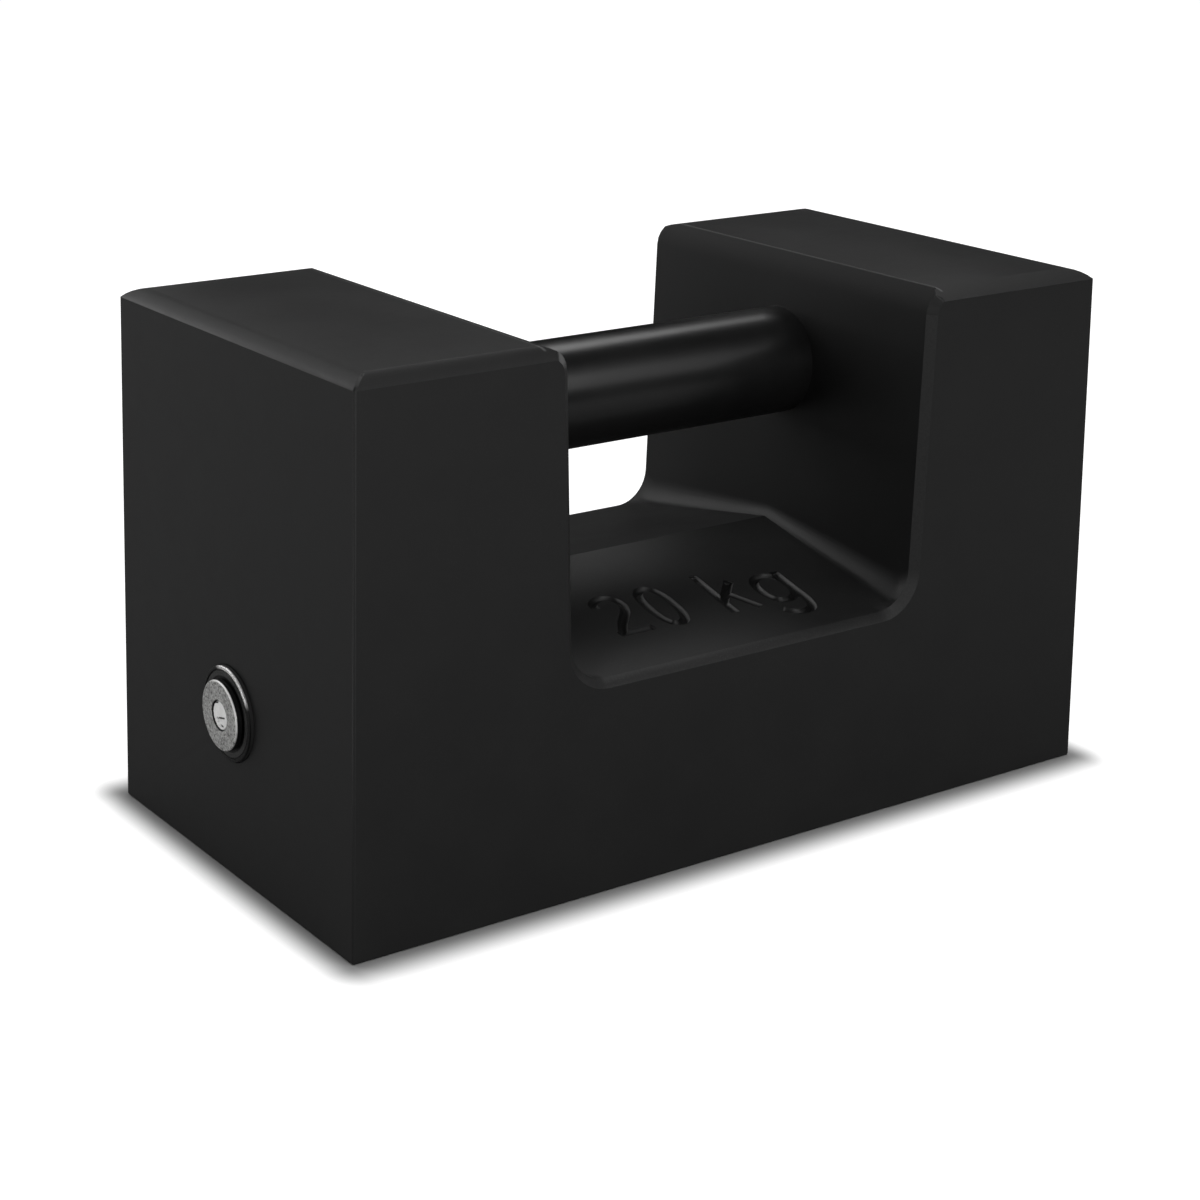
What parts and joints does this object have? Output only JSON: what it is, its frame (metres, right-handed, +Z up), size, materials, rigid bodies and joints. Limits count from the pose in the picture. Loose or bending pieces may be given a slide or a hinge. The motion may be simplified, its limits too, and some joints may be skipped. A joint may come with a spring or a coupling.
{
  "type": "calibration weight",
  "caption": "Rectangular cast iron bar weight with a hand notch, steel grab bar and a sealed adjusting cavity in one end.",
  "frame": {"origin": "middle of the flat base", "axes": "+Z up; +X along the length, away from the adjusting plug; the front face, which the lettered slope looks towards, is -Y"},
  "size_m": [0.236, 0.12, 0.139],
  "materials": {
    "body_paint": "smooth satin black paint on a fine casting",
    "bar_enamel": "glossy black enamel on a steel bar",
    "washer_steel": "blackened steel with a worn bright rim",
    "plug_steel": "bare steel, finely pitted",
    "seal_metal": "bright soft metal, pressed in",
    "shot_lead": "dull grey shot"
  },
  "bodies": {
    "root": {"weight_body": "body_paint", "grab_bar": "bar_enamel", "plug_washer": "washer_steel", "adjusting_plug": "plug_steel", "seal_pellet": "seal_metal", "shot_01": "shot_lead", "shot_02": "shot_lead", "shot_03": "shot_lead", "shot_04": "shot_lead", "shot_05": "shot_lead", "shot_06": "shot_lead", "shot_07": "shot_lead", "shot_08": "shot_lead", "shot_09": "shot_lead", "shot_10": "shot_lead", "shot_11": "shot_lead", "shot_12": "shot_lead", "shot_13": "shot_lead", "shot_14": "shot_lead", "shot_15": "shot_lead", "shot_16": "shot_lead", "shot_17": "shot_lead", "shot_18": "shot_lead", "shot_19": "shot_lead", "shot_20": "shot_lead", "shot_21": "shot_lead", "shot_22": "shot_lead", "shot_23": "shot_lead", "shot_24": "shot_lead", "shot_25": "shot_lead"}
  },
  "joints": []
}
